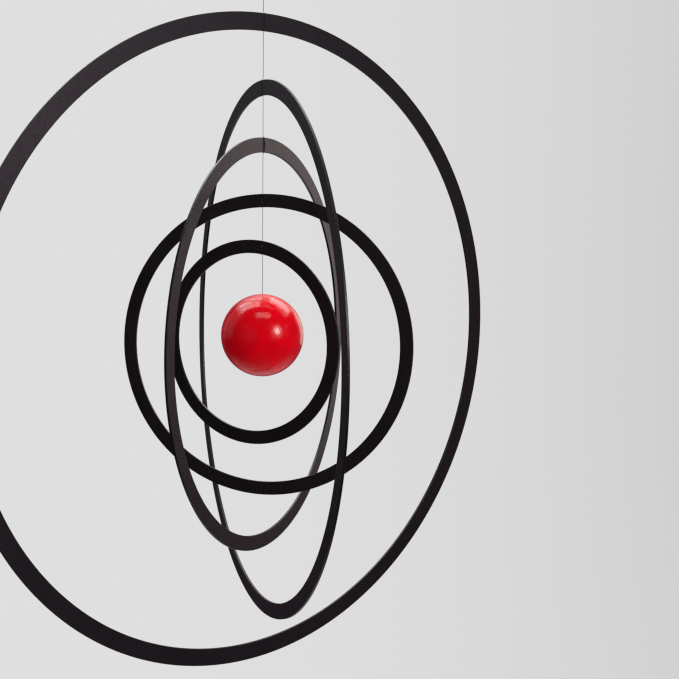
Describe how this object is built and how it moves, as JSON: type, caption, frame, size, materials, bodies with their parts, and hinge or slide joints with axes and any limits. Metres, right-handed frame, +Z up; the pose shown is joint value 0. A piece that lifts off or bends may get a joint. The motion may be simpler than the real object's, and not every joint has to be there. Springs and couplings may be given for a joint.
{
  "type": "hanging mobile sculpture",
  "caption": "Hanging mobile: flat black rings nested around a glossy red ball, in line on a thin thread, each ring free to turn about it.",
  "frame": {"origin": "inside the top of the hanging loop, where the hook bears", "axes": "+Z up along the thread, X along the outer ring's width at rest, Y across the outer ring's face"},
  "size_m": [0.4, 0.3035, 0.4618],
  "materials": {
    "ring_board": "matte black fine-textured board",
    "ball_paint": "high gloss red lacquer on a turned ball",
    "thread": "thin black thread"
  },
  "bodies": {
    "root": {"hanging_loop": "thread", "top_thread": "thread"},
    "outer_ring": {"outer_ring": "ring_board", "outer_ring_tie": "thread", "second_ring_thread": "thread"},
    "second_ring": {"second_ring": "ring_board", "second_ring_tie": "thread", "third_ring_thread": "thread"},
    "third_ring": {"third_ring": "ring_board", "third_ring_tie": "thread", "fourth_ring_thread": "thread"},
    "fourth_ring": {"fourth_ring": "ring_board", "fourth_ring_tie": "thread", "inner_ring_thread": "thread"},
    "inner_ring": {"inner_ring": "ring_board", "inner_ring_tie": "thread", "ball_thread": "thread"},
    "ball": {"red_ball": "ball_paint"}
  },
  "joints": [
    {"name": "outer_ring_turn", "type": "hinge", "parent": "root", "child": "outer_ring", "pos_m": [0, 0, -0.0602], "axis": [0, 0, 1], "continuous": true},
    {"name": "second_ring_turn", "type": "hinge", "parent": "outer_ring", "child": "second_ring", "pos_m": [0, 0, -0.0995], "axis": [0, 0, 1], "continuous": true},
    {"name": "third_ring_turn", "type": "hinge", "parent": "second_ring", "child": "third_ring", "pos_m": [0, 0, -0.1338], "axis": [0, 0, 1], "continuous": true},
    {"name": "fourth_ring_turn", "type": "hinge", "parent": "third_ring", "child": "fourth_ring", "pos_m": [0, 0, -0.1677], "axis": [0, 0, 1], "continuous": true},
    {"name": "inner_ring_turn", "type": "hinge", "parent": "fourth_ring", "child": "inner_ring", "pos_m": [0, 0, -0.1961], "axis": [0, 0, 1], "continuous": true},
    {"name": "ball_turn", "type": "hinge", "parent": "inner_ring", "child": "ball", "pos_m": [0, 0, -0.2299], "axis": [0, 0, 1], "continuous": true}
  ]
}
